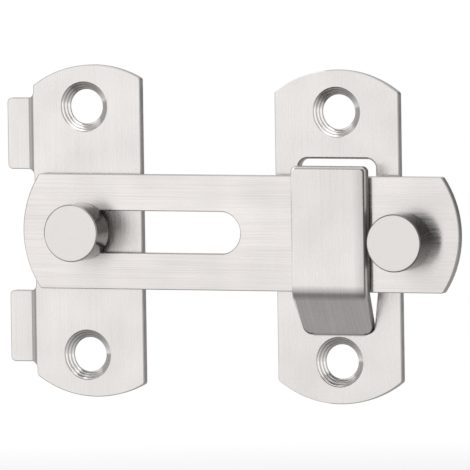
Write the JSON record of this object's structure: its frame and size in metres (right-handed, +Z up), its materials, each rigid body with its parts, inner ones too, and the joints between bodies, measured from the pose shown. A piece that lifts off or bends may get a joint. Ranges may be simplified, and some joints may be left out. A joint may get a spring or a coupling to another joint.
{
  "type": "flip latch",
  "caption": "Flip latch of brushed steel: a slotted bar turns and slides on a headed stud on one plate and drops behind the hook of a keeper plate.",
  "frame": {"origin": "on the pivot axis, midway between the pivot plate's two screw holes, at that plate's back face", "axes": "+X from the pivot to the keeper, +Z up, -Y out of the wall towards the user"},
  "size_m": [0.0849, 0.0097, 0.0585],
  "materials": {
    "brushed_plate": "brushed upright",
    "brushed_bar": "brushed lengthwise",
    "turned_steel": "turned, satin face"
  },
  "bodies": {
    "base": {"pivot_plate": "brushed_plate", "keeper_plate": "brushed_plate"},
    "pivot": {"pivot_stud": "turned_steel"},
    "bar": {"latch_bar": "brushed_bar", "pull_knob": "turned_steel"}
  },
  "joints": [
    {"name": "bar_flip", "type": "hinge", "parent": "base", "child": "pivot", "pos_m": [0, 0, 0], "axis": [0, -1, 0], "range_deg": [0, 320]},
    {"name": "bar_slide", "type": "slide", "parent": "pivot", "child": "bar", "axis": [1, 0, 0], "range_m": [-0.0012, 0]}
  ]
}
